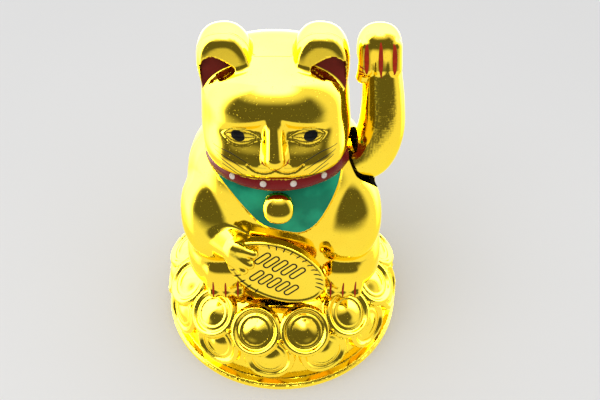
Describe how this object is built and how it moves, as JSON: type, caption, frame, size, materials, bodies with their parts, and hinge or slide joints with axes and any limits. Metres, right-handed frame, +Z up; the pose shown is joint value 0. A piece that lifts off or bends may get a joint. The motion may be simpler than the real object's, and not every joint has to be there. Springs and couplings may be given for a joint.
{
  "type": "waving cat figurine",
  "caption": "Seated gold lucky cat on a round coin-embossed pedestal, with one raised arm that swings on an axle over a pendulum.",
  "frame": {"origin": "middle of the pedestal's underside, on the surface it stands on", "axes": "+Z up; the cat looks along -Y; the raised arm is on the +X side"},
  "size_m": [0.094, 0.094, 0.1324],
  "materials": {
    "gold_plated": "vacuum-metallised gold under clear lacquer, with painted green bib, red collar and ears, black eyes",
    "black_plastic": "fine satin moulded",
    "cell_jacket": "plain printed jacket, satin",
    "spring_steel": "bright nickel plate",
    "board_laminate": "green solder mask",
    "chip_epoxy": "black epoxy",
    "capacitor_sleeve": "shrink sleeve",
    "white_plastic": "natural moulded",
    "copper_winding": "enamelled copper wire",
    "red_insulation": "soft PVC",
    "black_insulation": "soft PVC",
    "steel": "drawn steel",
    "magnet_nickel": "nickel plate",
    "screw_steel": "zinc plated"
  },
  "bodies": {
    "root": {"front_shell": "gold_plated", "rear_shell": "gold_plated", "pedestal": "gold_plated", "bottom_cover": "black_plastic", "aa_cell": "cell_jacket", "contact_plate": "spring_steel", "contact_spring": "spring_steel", "circuit_board": "board_laminate", "driver_chip": "chip_epoxy", "capacitor": "capacitor_sleeve", "coil_bobbin": "white_plastic", "drive_coil": "copper_winding", "wire_red": "red_insulation", "wire_black": "black_insulation", "movement_frame": "white_plastic", "cover_screws": "screw_steel", "frame_screws": "screw_steel", "body_screws": "screw_steel", "board_screws": "screw_steel"},
    "battery_door": {"battery_door": "black_plastic"},
    "arm": {"arm_front_half": "gold_plated", "arm_rear_half": "gold_plated", "pivot_axle": "steel", "pendulum_lever": "white_plastic", "pendulum_magnet": "magnet_nickel", "counterweight": "steel"}
  },
  "joints": [
    {"name": "arm_swing", "type": "hinge", "parent": "root", "child": "arm", "pos_m": [0.012, 0, 0.08], "axis": [1, 0, 0], "range_deg": [-16, 16]},
    {"name": "battery_door_tilt", "type": "hinge", "parent": "root", "child": "battery_door", "pos_m": [-0.018, -0.0259, 0.0016], "axis": [1, 0, 0], "range_deg": [-80, 0]}
  ]
}
